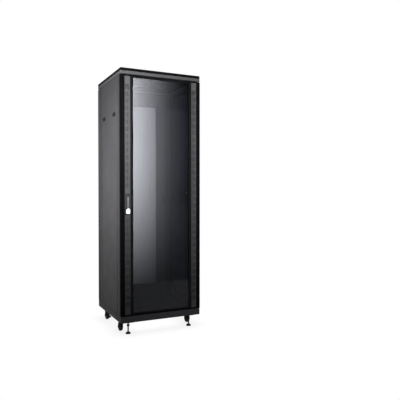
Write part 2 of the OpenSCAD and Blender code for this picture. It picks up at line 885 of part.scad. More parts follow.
module front_door_frame() {
    color("black") difference() {
        union() {
            difference() {
                on_end(-1) mirror([1, 0, 0]) union() {
                    door_tray(cover_t, front_lip_w, end_lip_w);
                    hinge_sleeves();
                    for (side = [-1, 1]) on_side(side) {
                        tube_along_z(glass_x - tube_w, vent_x0);
                        block([vent_x0 - cover_t, vent_x0], [tube_y0 - cut, door_y - cover_t],
                              [door_z0 + cover_t, door_z1 - cover_t]);
                    }
                    tube_along_x(door_z0 + glass_margin, door_z0 + glass_margin + tube_w);
                    tube_along_x(door_z1 - glass_margin - tube_w, door_z1 - glass_margin);
                }
                block([-glass_x, glass_x], [-half_d - cut, -tube_y0],
                      [door_z0 + glass_margin, door_z1 - glass_margin]);
                for (side = [-1, 1]) on_side(side)
                    block([vent_x0, vent_x1], [-half_d - cut, -door_y + cover_t],
                          [door_z0 + glass_margin, door_z1 - glass_margin]);
                on_end(-1) mirror([1, 0, 0]) hinge_bores();
            }
            rod_guides();
        }
        for (side = [-1, 1]) lock_rod_at(side, rod_slot_gap);
    }
}

module front_door_glass() {
    y0 = -door_y + glass_set;
    color("lightblue", 0.4)
        block([-glass_x + gasket_w / 2, glass_x - gasket_w / 2], [y0, y0 + glass_t],
              [door_z0 + glass_margin + gasket_end_w / 2,
               door_z1 - glass_margin - gasket_end_w / 2]);
}

module front_door_gasket() {
    z = [door_z0 + glass_margin, door_z1 - glass_margin];
    color("black") difference() {
        block([-glass_x, glass_x], [-half_d, -tube_y0], z);
        block([gasket_w - glass_x, glass_x - gasket_w], [-half_d - cut, 0],
              [z[0] + gasket_end_w, z[1] - gasket_end_w]);
        front_door_glass();
    }
}

module front_door_vents() {
    z0 = door_z0 + cover_t;
    z1 = door_z1 - cover_t;
    y0 = -door_y + cover_t;
    rows = floor((z1 - z0 - 2 * slot_end) / slot_pitch);
    first = (z0 + z1 - (rows - 1) * slot_pitch) / 2;
    mid_x = (vent_x0 + vent_x1) / 2;
    plate_half = lock_plate_h / 2 + slot_l / 2;
    color("gray") for (side = [-1, 1]) on_side(side) difference() {
        block([vent_x0, vent_x1 + vent_lap], [y0, y0 + vent_t], [z0, z1]);
        translate([0, y0 + vent_t + cut, 0]) rotate([90, 0, 0]) linear_extrude(vent_t + 2 * cut)
            for (row = [0:rows - 1], column = slot_columns)
                if (side > 0 || abs(first + row * slot_pitch - lock_z) > plate_half)
                    translate([mid_x + column, first + row * slot_pitch])
                        square([slot_w, slot_l], center = true);
        if (side < 0) {
            along_y(mid_x, spindle_z, y0 - cut, y0 + vent_t + cut, shaft_r + 2 * hole_gap);
            along_y(mid_x, key_z, y0 - cut, y0 + vent_t + cut, key_r + hole_gap);
        }
    }
}

module front_door_seal() {
    y = [-door_back, -door_back + seal_t];
    color("black") difference() {
        block([seal_in - half_w, half_w - seal_in], y, [door_z0 + seal_end, door_z1 - seal_end]);
        block([seal_in + seal_w - half_w, half_w - seal_in - seal_w], [y[0] - cut, y[1] + cut],
              [door_z0 + seal_end + seal_w, door_z1 - seal_end - seal_w]);
    }
}

module front_lock_plate() {
    color("black") difference() {
        translate([lock_x, -door_y, lock_z]) rotate([90, 0, 0]) linear_extrude(lock_plate_t)
            rounded_rect(lock_plate_w, lock_plate_h, 6);
        along_y(lock_x, spindle_z, plate_y - cut, -door_y + cut, spindle_r + run_fit);
        along_y(lock_x, key_z, plate_y - cut, -door_y + cut, key_r + hole_gap);
    }
}

// Slot for a key in a face at y, which looks towards the front (1) or the back (-1)
module key_slot_cut(y, front) {
    block([-key_slot[0] / 2, key_slot[0] / 2],
          front > 0 ? [y - cut, y + key_slot_d] : [y - key_slot_d, y + cut],
          [-key_slot[1] / 2, key_slot[1] / 2]);
}

module front_lock_cylinder() {
    color("silver") difference() {
        translate([lock_x, plate_y, key_z]) rotate([90, 0, 0]) linear_extrude(cylinder_t)
            rounded_rect(cylinder_w, cylinder_h, cylinder_w / 2 - 1);
        along_y(lock_x, key_z, plate_y - cylinder_t - cut, plate_y + cut, key_r + run_fit);
    }
}

module front_key_plug() {
    face_y = plate_y - cylinder_t - key_proud;
    color("silver") difference() {
        along_y(lock_x, key_z, face_y, -door_y + key_r, key_r);
        translate([lock_x, 0, key_z]) key_slot_cut(face_y, 1);
    }
}

module front_lock_spindle() {
    head_y = plate_y - slide_gap;
    cam_y = rod_y - cam_disc_gap;
    pin_reach = lever_w / 2 + lever_pin_lug;
    color("dimgray") {
        along_y(lock_x, spindle_z, head_y - seat_gap, -door_y, spindle_r);
        along_y(lock_x, spindle_z, head_y - spindle_head_t, head_y, spindle_head_r);
        along_y(lock_x, spindle_z, -door_y - cut, cam_y, shaft_r);
        along_y(lock_x, spindle_z, cam_y - cam_disc_t, cam_y, cam_r);
        for (side = [-1, 1])
            translate([lock_x + side * (lever_w / 2 + clevis_gap + clevis_t / 2), 0, spindle_z])
                block([-clevis_t / 2, clevis_t / 2], [lever_y - lever_t / 2 - cut / 2, head_y - cut],
                      [-clevis_h / 2, clevis_h / 2]);
        along_x(lever_y, spindle_z, lock_x - pin_reach, lock_x + pin_reach, lever_pin_r);
    }
}

module front_lock_lever() {
    color("black") difference() {
        union() {
            along_x(lever_y, spindle_z, lock_x - lever_w / 2, lock_x + lever_w / 2, lever_t / 2);
            block([lock_x - lever_w / 2, lock_x + lever_w / 2],
                  [lever_y - lever_t / 2, lever_y + lever_t / 2], [spindle_z - lever_l, spindle_z]);
        }
        along_x(lever_y, spindle_z, lock_x - lever_w, lock_x + lever_w, lever_pin_r + run_fit);
    }
}

module lock_rod_upper() { color("silver") lock_rod_at(1, 0); }
module lock_rod_lower() { color("silver") lock_rod_at(-1, 0); }

// Flat ring in the plane of the rear door, between two distances from its middle field
module stiffener_ring(inner, outer, y) {
    x = half_w - stiffener_in_x;
    z = [base_top + stiffener_in_z, head_z - stiffener_in_z];
    difference() {
        block([-x - outer, x + outer], y, [z[0] - outer, z[1] + outer]);
        block([-x - inner, x + inner], [y[0] - cut, y[1] + cut], [z[0] - inner, z[1] + inner]);
    }
}

// Hollow rectangular frame welded to the inner face of the rear door
module stiffener_frame() {
    y = [door_y - stiffener_h, door_y - cover_t / 2];
    difference() {
        stiffener_ring(0, stiffener_w, y);
        stiffener_ring(cover_t, stiffener_w - cover_t, [y[0] + cover_t, door_y - cover_t]);
    }
}

module rear_door_panel() {
    color("dimgray") difference() {
        union() {
            door_tray(cover_t, end_lip_w, end_lip_w);
            hinge_sleeves();
            stiffener_frame();
        }
        hinge_bores();
        along_y(rear_lock_x, rear_lock_z, door_y - 2 * cover_t, half_d, barrel_r + loose_fit);
    }
}

module rear_lock_barrel() {
    color("silver") difference() {
        union() {
            along_y(rear_lock_x, rear_lock_z, door_back - barrel_behind, door_y, barrel_r);
            along_y(rear_lock_x, rear_lock_z, door_y, door_y + barrel_flange_t, barrel_flange_r);
        }
        along_y(rear_lock_x, rear_lock_z, 0, 2 * half_d, plug_r + run_fit);
    }
}

module rear_lock_cam() {
    cam_y = post_y - frame_t - cam_behind - cam_t;
    face_y = door_y + barrel_flange_t + plug_proud;
    color("silver") difference() {
        union() {
            along_y(rear_lock_x, rear_lock_z, cam_y, face_y, plug_r);
            block([rear_lock_x - cam_w / 2, rear_lock_x + cam_w / 2], [cam_y, cam_y + cam_t],
                  [rear_lock_z - rear_cam_l, rear_lock_z]);
        }
        translate([rear_lock_x, 0, rear_lock_z]) key_slot_cut(face_y, -1);
    }
}

// ---------------------------------------------------------------- side panels

// Places of the front (-1) and rear (1) latch along the panel
function latch_y(end) = end < 0 ? panel_y0 + latch_in : panel_y1 - latch_in;

module side_panel(side) {
    t = panel_t;
    half = latch_neck / 2 + latch_gap;
    color("dimgray") on_side(side) difference() {
        block([side_face - side_fold, side_face], [panel_y0, panel_y1], [panel_z0, panel_z1]);
        block([side_face - side_fold - cut, side_face - t], [panel_y0 + t, panel_y1 - t],
              [panel_z0 + t, panel_z1 - t]);
        for (end = [-1, 1])
            block([side_face - 2 * t, half_w],
                  [latch_y(end) - half - (end < 0 ? 0 : latch_travel),
                   latch_y(end) + half + (end < 0 ? latch_travel : 0)],
                  [latch_z - half, latch_z + half]);
        along_x(side_lock_y, side_lock_z, side_face - 2 * t, half_w, side_lock_r + run_fit);
    }
}

module side_latch(side, end) {
    y = latch_y(end);
    tongue = y + end * latch_tongue_l;
    inner = side_face - panel_t - slide_gap;
    color("black") on_side(side) {
        translate([side_face + slide_gap, y, latch_z]) rotate([90, 0, 90])
            linear_extrude(latch_face_t) rounded_rect(latch_w, latch_h, latch_h / 2 - 1);
        block([inner - cut, side_face + slide_gap + cut],
              [y - latch_neck / 2, y + latch_neck / 2],
              [latch_z - latch_neck / 2, latch_z + latch_neck / 2]);
        block([inner - latch_back_t, inner],
              [min(y - latch_back_l, tongue), max(y + latch_back_l, tongue)],
              [latch_z - latch_back_h / 2, latch_z + latch_back_h / 2]);
    }
}

module side_lock(side) {
    cam_x = side_face - side_fold - side_lock_tail;
    face_x = side_face + side_lock_proud;
    color("silver") on_side(side) difference() {
        union() {
            along_x(side_lock_y, side_lock_z, cam_x, side_face + cut, side_lock_r);
            along_x(side_lock_y, side_lock_z, side_face + slide_gap, face_x, side_lock_flange_r);
            block([cam_x - cam_t / 2, cam_x + cam_t / 2],
                  [side_lock_y, side_lock_y + side_cam_l],
                  [side_lock_z - cam_w / 2, side_lock_z + cam_w / 2]);
        }
        translate([0, side_lock_y, side_lock_z]) rotate([90, 0, 90])
            translate([0, 0, face_x - key_slot_d])
                linear_extrude(2 * key_slot_d) square([key_slot[1], key_slot[0]], center = true);
    }
}

module side_panel_left() { side_panel(-1); }
module side_panel_right() { side_panel(1); }
module side_latch_front_left() { side_latch(-1, -1); }
module side_latch_rear_left() { side_latch(-1, 1); }
module side_latch_front_right() { side_latch(1, -1); }
module side_latch_rear_right() { side_latch(1, 1); }
module side_lock_left() { side_lock(-1); }
module side_lock_right() { side_lock(1); }

// ---------------------------------------------------------------- nodes

base_frame();
foot_plates();
foot_lock_nuts();
caster_plates();
floor_panel();
floor_cable_cover();
post_front_left();
post_front_right();
post_rear_left();
post_rear_right();
roof_frame();
roof_cover();
rail_front_left();
rail_front_right();
rail_rear_left();
rail_rear_right();
side_braces();
frame_screws();
fan_housings();
fan_guards();
fan_rotor_left();
fan_rotor_right();
door_hinge_pins();
foot_front_left();
foot_front_right();
foot_rear_left();
foot_rear_right();
caster_fork_front_left();
caster_fork_front_right();
caster_fork_rear_left();
caster_fork_rear_right();
caster_wheel_front_left();
caster_wheel_front_right();
caster_wheel_rear_left();
caster_wheel_rear_right();
brake_pedal_left();
brake_pedal_right();
front_door_frame();
front_door_glass();
front_door_gasket();
front_door_vents();
front_door_seal();
front_lock_plate();
front_lock_cylinder();
front_lock_spindle();
front_lock_lever();
front_key_plug();
lock_rod_upper();
lock_rod_lower();
rear_door_panel();
rear_lock_barrel();
rear_lock_cam();
side_panel_left();
side_panel_right();
side_latch_front_left();
side_latch_rear_left();
side_latch_front_right();
side_latch_rear_right();
side_lock_left();
side_lock_right();
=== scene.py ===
"""Looks of a free-standing 19 inch network cabinet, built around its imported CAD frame."""

import json
import math

import bmesh
import bpy
from mathutils import Matrix, Vector


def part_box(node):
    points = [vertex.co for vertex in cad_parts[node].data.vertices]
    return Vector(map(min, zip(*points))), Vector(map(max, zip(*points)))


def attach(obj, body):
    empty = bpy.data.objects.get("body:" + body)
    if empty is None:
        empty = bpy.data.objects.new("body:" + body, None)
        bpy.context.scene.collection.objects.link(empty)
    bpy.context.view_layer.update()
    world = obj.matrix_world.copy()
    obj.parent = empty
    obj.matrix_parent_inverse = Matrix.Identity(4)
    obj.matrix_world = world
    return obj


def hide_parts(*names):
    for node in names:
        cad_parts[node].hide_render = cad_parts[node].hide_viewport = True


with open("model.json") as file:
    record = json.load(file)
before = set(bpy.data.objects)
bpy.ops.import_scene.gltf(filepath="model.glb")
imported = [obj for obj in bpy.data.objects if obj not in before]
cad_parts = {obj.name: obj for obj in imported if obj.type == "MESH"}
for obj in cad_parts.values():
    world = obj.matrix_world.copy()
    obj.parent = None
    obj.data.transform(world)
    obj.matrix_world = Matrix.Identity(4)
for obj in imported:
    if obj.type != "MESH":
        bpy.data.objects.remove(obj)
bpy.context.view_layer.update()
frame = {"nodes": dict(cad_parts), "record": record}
NODES = frame["nodes"]
MM = 0.001
ENDS = ("front", "rear")
SIDES = ("left", "right")


# ---------------------------------------------------------------- material helpers

# Most values of a noise texture lie between these two
NOISE_LOW = 0.3
NOISE_HIGH = 0.7

DUST = (0.30, 0.29, 0.28)


class Nodes:
    """A node tree, and short ways to add and join its nodes."""

    def __init__(self, tree):
        self.tree = tree

    def add(self, kind, **values):
        """Adds a node. Each value sets a field of the node or else an input, with _ for a space."""
        node = self.tree.nodes.new(kind)
        for name, value in values.items():
            if hasattr(node, name):
                setattr(node, name, value)
            else:
                node.inputs[name.replace("_", " ")].default_value = value
        return node

    def link(self, output, socket):
        self.tree.links.new(output, socket)

    def ramp(self, value, low, high, start=NOISE_LOW, end=NOISE_HIGH):
        """Goes from low to high while value goes from start to end."""
        node = self.add("ShaderNodeMapRange", From_Min=start, From_Max=end, To_Min=low, To_Max=high)
        self.link(value, node.inputs["Value"])
        return node.outputs["Result"]

    def combine(self, operation, first, second):
        """One output made of two by a Math node."""
        node = self.add("ShaderNodeMath", operation=operation)
        self.link(first, node.inputs[0])
        self.link(second, node.inputs[1])
        return node.outputs[0]

    def either(self, switch, off, on):
        """One shader where switch is 0, and the other where it is 1."""
        node = self.add("ShaderNodeMixShader")
        self.link(switch, node.inputs[0])
        self.link(off.outputs[0], node.inputs[1])
        self.link(on.outputs[0], node.inputs[2])
        return node.outputs[0]


class Shading(Nodes):
    """A material with a Principled shader, and the textures that drive it."""

    def __init__(self, name):
        self.material = bpy.data.materials.new(name)
        self.material.use_nodes = True
        super().__init__(self.material.node_tree)
        self.shader = self.tree.nodes["Principled BSDF"]
        self.coordinates = self.add("ShaderNodeTexCoord").outputs["Object"]

    def set(self, **values):
        for name, value in values.items():
            self.shader.inputs[name.replace("_", " ")].default_value = value

    def drive(self, name, output):
        """Drives an input of the shader with an output."""
        self.link(output, self.shader.inputs[name])

    def noise(self, scale, detail=3.0, stretch=(1, 1, 1)):
        """Noise with scale features in a metre."""
        mapping = self.add("ShaderNodeMapping", Scale=stretch)
        self.link(self.coordinates, mapping.inputs["Vector"])
        texture = self.add("ShaderNodeTexNoise", Scale=scale, Detail=detail)
        self.link(mapping.outputs["Vector"], texture.inputs["Vector"])
        return texture.outputs["Fac"]

    def cells(self, scale):
        """Grey level of each cell of a crystal-like pattern, with scale cells in a metre."""
        texture = self.add("ShaderNodeTexVoronoi", Scale=scale)
        self.link(self.coordinates, texture.inputs["Vector"])
        grey = self.add("ShaderNodeRGBToBW")
        self.link(texture.outputs["Color"], grey.inputs["Color"])
        return grey.outputs[0]

    def mix(self, factor, first, second):
        """Colour between two colours, or between an output and a colour."""
        node = self.add("ShaderNodeMix", data_type="RGBA")
        for value, socket in ((first, node.inputs[6]), (second, node.inputs[7])):
            if isinstance(value, bpy.types.NodeSocket):
                self.link(value, socket)
            else:
                socket.default_value = (*value, 1)
        self.link(factor, node.inputs[0])
        return node.outputs[2]

    def bump(self, height, distance):
        """Relief of a texture whose highest points stand distance metres proud."""
        node = self.add("ShaderNodeBump", Distance=distance)
        self.link(height, node.inputs["Height"])
        self.drive("Normal", node.outputs["Normal"])

    def dust(self, colour, amount):
        """Colour with a thin film of dust where the surface looks up."""
        geometry = self.add("ShaderNodeNewGeometry")
        split = self.add("ShaderNodeSeparateXYZ")
        self.link(geometry.outputs["Normal"], split.inputs["Vector"])
        upward = self.ramp(split.outputs["Z"], 0, amount, 0.6, 1)
        patchy = self.ramp(self.noise(9, 5), 0.3, 1)
        return self.mix(self.combine("MULTIPLY", upward, patchy), colour, DUST)


def scaled(colour, factor):
    return tuple(c * factor for c in colour)


def powder_coat(name, colour, roughness, specular, grain=700, relief=0.02 * MM):
    """Sprayed powder coat: orange-peel relief, and a coat that isn't quite even."""
    s = Shading(name)
    coat = s.mix(s.ramp(s.noise(4, 4), 0, 1), scaled(colour, 0.9), scaled(colour, 1.12))
    specks = s.mix(s.ramp(s.noise(grain * 2, 1), 0, 1, 0.45, 0.75), coat, scaled(colour, 1.5))
    s.drive("Base Color", s.dust(specks, 0.06))
    s.drive("Roughness", s.ramp(s.noise(11, 3), roughness - 0.05, roughness + 0.06))
    s.bump(s.noise(grain, 2), relief)
    s.set(Specular_IOR_Level=specular)
    return s.material


def plated_steel(name, colour, roughness=0.3, metallic=1.0):
    """Plated steel: zinc spangle, fine draw lines and slight staining."""
    s = Shading(name)
    spangle = s.mix(s.ramp(s.cells(260), 0, 1, 0.1, 0.9), scaled(colour, 0.86), scaled(colour, 1.08))
    stained = s.mix(s.ramp(s.noise(35, 5), 0, 0.35, 0.5, 0.75), spangle, scaled(colour, 0.7))
    s.drive("Base Color", stained)
    s.drive("Roughness", s.ramp(s.noise(60, 4), roughness - 0.06, roughness + 0.1))
    s.bump(s.noise(900, 2, (1, 1, 0.06)), 0.008 * MM)
    s.set(Metallic=metallic)
    return s.material


def chrome(name):
    """Bright chrome with the faint marks of handling."""
    s = Shading(name)
    s.drive("Base Color", s.mix(s.noise(40, 3), (0.80, 0.81, 0.83), (0.70, 0.71, 0.73)))
    s.drive("Roughness", s.ramp(s.noise(300, 3), 0.10, 0.2))
    s.bump(s.noise(1500, 2), 0.002 * MM)
    s.set(Metallic=1.0)
    return s.material


def moulded_plastic(name, colour, roughness=0.42):
    """Moulded plastic with a fine spark-eroded grain."""
    s = Shading(name)
    s.drive("Base Color", s.mix(s.noise(25, 3), scaled(colour, 0.85), scaled(colour, 1.2)))
    s.drive("Roughness", s.ramp(s.noise(120, 3), roughness - 0.06, roughness + 0.06))
    s.bump(s.noise(2600, 2), 0.016 * MM)
    s.set(Specular_IOR_Level=0.45)
    return s.material


def rubber(name, colour):
    """Dull rubber, paler where it is worn."""
    s = Shading(name)
    worn = s.mix(s.ramp(s.noise(90, 5), 0, 1), scaled(colour, 0.8), scaled(colour, 1.35))
    s.drive("Base Color", s.dust(worn, 0.05))
    s.drive("Roughness", s.ramp(s.noise(50, 4), 0.6, 0.8))
    s.bump(s.noise(1400, 3), 0.03 * MM)
    s.set(Specular_IOR_Level=0.12)
    return s.material


def tinted_glass(name):
    """Tempered smoke glass. Lamps reach what is behind it through a tinted pass."""
    s = Shading(name)
    wipes = s.ramp(s.noise(7, 6, (1, 1, 0.35)), 0, 1, 0.4, 0.7)
    tint = s.mix(wipes, (0.50, 0.53, 0.60), (0.54, 0.57, 0.63))
    s.drive("Base Color", tint)
    s.set(Transmission_Weight=1.0, IOR=1.5, Roughness=0.0)
    clear = s.add("ShaderNodeBsdfTransparent")
    s.link(tint, clear.inputs["Color"])
    shadow_ray = s.add("ShaderNodeLightPath").outputs["Is Shadow Ray"]
    s.link(s.either(shadow_ray, s.shader, clear), s.tree.nodes["Material Output"].inputs["Surface"])
    return s.material


MATERIALS = {
    # powder_black is made darker and duller than real black paint. This is painted shade, so the grooves
    # beside the door's vents stay black.
    "powder_black": powder_coat("powder_black", (0.0035, 0.0035, 0.0038), 0.5, 0.03),
    "powder_frame": powder_coat("powder_frame", (0.050, 0.050, 0.053), 0.5, 0.35),
    "powder_side": powder_coat("powder_side", (0.060, 0.058, 0.060), 0.55, 0.4, 520, 0.05 * MM),
    "vent_steel": powder_coat("vent_steel", (0.088, 0.088, 0.09), 0.55, 0.15),
    "rail_black": powder_coat("rail_black", (0.022, 0.023, 0.027), 0.4, 0.4),
    "zinc_steel": plated_steel("zinc_steel", (0.52, 0.53, 0.54)),
    "black_steel": plated_steel("black_steel", (0.022, 0.022, 0.024), 0.34, 0.4),
    "chrome_lock": chrome("chrome_lock"),
    "black_plastic": moulded_plastic("black_plastic", (0.016, 0.016, 0.017)),
    "lever_grey": moulded_plastic("lever_grey", (0.17, 0.17, 0.175), 0.38),
    "tinted_glass": tinted_glass("tinted_glass"),
    "rubber_black": rubber("rubber_black", (0.007, 0.007, 0.007)),
    "caster_tyre": moulded_plastic("caster_tyre", (0.020, 0.020, 0.021), 0.38),
    "caster_hub": moulded_plastic("caster_hub", (0.16, 0.16, 0.165), 0.35),
}


def finish_nodes():
    """Gives every CAD node its slot's material."""
    for row in frame["record"]["subparts"]:
        node = NODES[row["node"]]
        node.data.materials.clear()
        node.data.materials.append(MATERIALS[row["material_slot"]])


# Edge radius of each kind of node, in millimetres, by how its name starts
EDGE_RADII = {
    "base_frame": 1.0, "roof_frame": 1.0, "roof_cover": 1.0, "front_door_frame": 0.9,
    "rear_door_panel": 0.9, "side_panel": 0.7, "post": 0.8, "floor": 0.4, "foot_plates": 1.0,
    "front_door_gasket": 1.2, "front_door_seal": 2.0, "front_lock_plate": 0.8,
    "front_lock_cylinder": 0.9, "front_lock_spindle": 0.4, "rear_lock": 0.4, "side_lock": 0.4,
    "side_latch": 0.8, "caster_plates": 0.4, "caster_fork": 0.5, "brake_pedal": 0.5,
    "fan_housings": 0.5, "lock_rod": 0.4, "frame_screws": 0.4, "side_braces": 0.4,
}
WELD_DISTANCE = 0.01 * MM
# Edges that turn by less than this are the facets of a curve
BEND_ANGLE = math.radians(48)


def round_edges():
    """Rounds the edges of what is folded, cast or moulded."""
    for name, node in NODES.items():
        radius = next((r for start, r in EDGE_RADII.items() if name.startswith(start)), None)
        if radius is None:
            continue
        weld = node.modifiers.new("weld", "WELD")
        weld.merge_threshold = WELD_DISTANCE
        bevel = node.modifiers.new("round_edges", "BEVEL")
        bevel.width = radius * MM
        bevel.segments = 2
        bevel.limit_method = "ANGLE"
        bevel.angle_limit = BEND_ANGLE
        bevel.use_clamp_overlap = True
        node.modifiers.new("normals", "WEIGHTED_NORMAL").keep_sharp = True


# ---------------------------------------------------------------- mesh helpers

SAME_POINT = 0.001 * MM
SMOOTH_ANGLE = math.radians(38)


def make_piece(name, bm, materials, body, replaced=()):
    """Turns a bmesh in the row frame into a piece that rides on a body."""
    bmesh.ops.remove_doubles(bm, verts=bm.verts, dist=SAME_POINT)
    bmesh.ops.recalc_face_normals(bm, faces=bm.faces)
    mesh = bpy.data.meshes.new(name)
    bm.to_mesh(mesh)
    bm.free()
    for key in materials:
        mesh.materials.append(MATERIALS[key])
    mesh.shade_smooth()
    mesh.set_sharp_from_angle(angle=SMOOTH_ANGLE)
    piece = bpy.data.objects.new(name, mesh)
    bpy.context.scene.collection.objects.link(piece)
    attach(piece, body)
    if replaced:
        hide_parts(*replaced)


def loft(bm, rings, material=0, capped=True):
    """Joins rings of points, each with as many points, into a skin."""
    rows = [[bm.verts.new(p) for p in ring] for ring in rings]
    count = len(rows[0])
    for low, high in zip(rows, rows[1:]):
        for i in range(count):
            j = (i + 1) % count
            bm.faces.new((low[i], low[j], high[j], high[i])).material_index = material
    if capped:
        for row in (rows[0], rows[-1]):
            bm.faces.new(row).material_index = material


def lathe(bm, profile, centre, axis, material):
    """Turns a closed profile of (radius, height) pairs about an axis through centre."""
    steps = 48
    turn = Vector((0, 0, 1)).rotation_difference(Vector(axis)).to_matrix()
    rings = []
    for radius, height in profile:
        points = []
        for i in range(steps):
            a = 2 * math.pi * i / steps
            local = Vector((radius * math.cos(a), radius * math.sin(a), height))
            points.append(Vector(centre) + turn @ local)
        rings.append(points)
    loft(bm, rings + rings[:1], material, capped=False)


def rounded_outline(width, height, radius, steps=6):
    """Points of a rectangle with round corners, centred on the origin."""
    points = []
    for corner, (sx, sy) in enumerate(((1, 1), (-1, 1), (-1, -1), (1, -1))):
        for i in range(steps + 1):
            a = math.pi / 2 * (corner + i / steps)
            points.append((sx * (width / 2 - radius) + radius * math.cos(a),
                           sy * (height / 2 - radius) + radius * math.sin(a)))
    return points


# ---------------------------------------------------------------- casters and feet


def caster_wheel(end, side):
    """Nylon wheel with a crowned tread, and a lighter hub disc with five ribs, on each side."""
    node = f"caster_wheel_{end}_{side}"
    low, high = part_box(node)
    centre = (low + high) / 2
    radius = (high.z - low.z) / 2
    half = (high.x - low.x) / 2
    bore = 4.05 * MM
    hub = 9 * MM
    rim = 19.5 * MM
    recess = 2.2 * MM
    edge = 0.6 * MM
    crown_drop = 4 * MM
    tyre_half = half * 0.98
    seat_half = half * 0.8
    steps = 12

    bm = bmesh.new()
    tyre = []
    for i in range(steps + 1):
        a = math.pi * (i / steps - 0.5)
        tyre.append((radius - crown_drop * (1 - math.cos(a)), tyre_half * math.sin(a)))
    lip = rim + 1.5 * MM
    tyre += [(lip, tyre_half), (rim, seat_half), (rim, -seat_half), (lip, -tyre_half)]
    lathe(bm, tyre, centre, (1, 0, 0), 0)

    disc = [(bore, half), (hub, half), (hub + edge, half - edge), (hub + 2 * edge, half - recess),
            (rim - edge, half - recess), (rim, half - recess * 0.6)]
    lathe(bm, [(r, -x) for r, x in disc] + disc[::-1], centre, (1, 0, 0), 1)

    # Across and out from the axle, in millimetres
    rib = ((-1.1, 9.5), (1.1, 9.5), (0.8, 19.2), (-0.8, 19.2))
    rib_bottom = half - recess - 0.2 * MM
    rib_top = half - 0.7 * MM
    rib_count = 5
    for face in (-1, 1):
        for i in range(rib_count):
            turn = Matrix.Rotation(2 * math.pi * i / rib_count, 4, "X")
            rings = []
            for depth in (rib_bottom, rib_top):
                rings.append([centre + turn @ Vector((face * depth, y * MM, r * MM)) for y, r in rib])
            loft(bm, rings, 1)
    make_piece(f"wheel_{end}_{side}", bm, ["caster_tyre", "caster_hub"], node, [node])


def levelling_foot(end, side):
    """Rubber-soled foot with a domed steel pad, its hexagon and a threaded stud."""
    node = f"foot_{end}_{side}"
    low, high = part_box(node)
    x, y = (low.x + high.x) / 2, (low.y + high.y) / 2
    pad = (high.x - low.x) / 2
    middle = 0.1 * MM
    sole_top = 3.4 * MM
    dome_bottom = 5 * MM
    dome_rise = 7.5 * MM
    neck = 6.5 * MM
    neck_top = 16 * MM
    chamfer = 1 * MM
    steps = 8

    bm = bmesh.new()
    sole = [(pad * 0.9, 0), (pad, 0.8 * MM), (pad, 3 * MM), (pad * 0.93, sole_top),
            (middle, sole_top), (middle, 0)]
    lathe(bm, sole, (x, y, low.z), (0, 0, 1), 1)

    dome = [(middle, sole_top), (pad * 0.93, sole_top), (pad * 0.95, dome_bottom)]
    for i in range(steps + 1):
        a = math.pi / 2 * i / steps
        dome.append((pad * (0.42 + 0.5 * math.cos(a)), dome_bottom + dome_rise * math.sin(a)))
    dome += [(neck, 13 * MM), (neck, neck_top), (5 * MM, neck_top + chamfer), (middle, neck_top + chamfer)]
    lathe(bm, dome, (x, y, low.z), (0, 0, 1), 0)

    nut_bottom = high.z - 63 * MM
    rings = []
    for height, radius in ((0, 10.2), (0.8, 11), (9.2, 11), (10, 10.2)):
        rings.append([Vector((x + radius * MM * math.cos(math.pi / 3 * i),
                              y + radius * MM * math.sin(math.pi / 3 * i),
                              nut_bottom + height * MM)) for i in range(6)])
    loft(bm, rings)
    threaded_stud(bm, x, y, low.z + neck_top, high.z, 5 * MM, 1.5 * MM)
    make_piece(f"levelling_foot_{end}_{side}", bm, ["black_steel", "rubber_black"], node, [node])


def threaded_stud(bm, x, y, bottom, top, radius, pitch):
    """A stud with a helical thread, as one skin of rows that follow the thread."""
    steps = 16
    crest = radius - 0.05 * MM
    root = radius - 0.75 * MM
    total = int((top - bottom) / pitch * steps)
    rows = []
    for part, r in ((0.0, root), (0.25, crest), (0.5, crest), (0.75, root)):
        row = []
        for i in range(total + 1):
            a = 2 * math.pi * i / steps
            height = min(max(bottom + pitch * (i / steps - 1 + part), bottom), top)
            row.append(bm.verts.new((x + r * math.cos(a), y + r * math.sin(a), height)))
        rows.append(row)
    for low, high in zip(rows, rows[1:]):
        for i in range(total):
            bm.faces.new((low[i], low[i + 1], high[i + 1], high[i]))
    # The last row of one turn meets the first row of the next
    for i in range(total - steps):
        bm.faces.new((rows[3][i], rows[3][i + 1], rows[0][i + 1 + steps], rows[0][i + steps]))


# ---------------------------------------------------------------- locks and latches


def swing_lever():
    """Grip of the front lock: a waisted bar with a round nose and a ridged pull at its lower end."""
    low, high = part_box("front_lock_lever")
    centre = (low + high) / 2
    widest = 12.8 * MM
    deepest = 6.6 * MM
    steps = 28

    bm = bmesh.new()
    rings = []
    for i in range(steps + 1):
        along = (1 - math.cos(math.pi * i / steps)) / 2
        z = low.z + (high.z - low.z) * along
        ends = math.sqrt(max(1 - (2 * along - 1) ** 16, 0.02))
        waist = 1 - 0.12 * math.sin(math.pi * along)
        pull = 0.25 * math.exp(-((along - 0.1) / 0.08) ** 2)
        width = widest * ends * waist
        depth = deepest * ends * (0.86 + pull * 0.5)
        outline = rounded_outline(width, depth, min(width, depth) * 0.42)
        rings.append([Vector((centre.x + u, centre.y + v, z)) for u, v in outline])
    loft(bm, rings)

    ridge = rounded_outline(8 * MM, 1.1 * MM, 0.5 * MM, 4)
    ridge_front = low.y + 0.5 * MM
    ridge_back = ridge_front + 1.5 * MM
    for i in range(5):
        z = low.z + (8 + 3 * i) * MM
        loft(bm, [[Vector((centre.x + u, y, z + v)) for u, v in ridge] for y in (ridge_back, ridge_front)])
    make_piece("swing_lever", bm, ["lever_grey"], "front_lock_lever", ["front_lock_lever"])


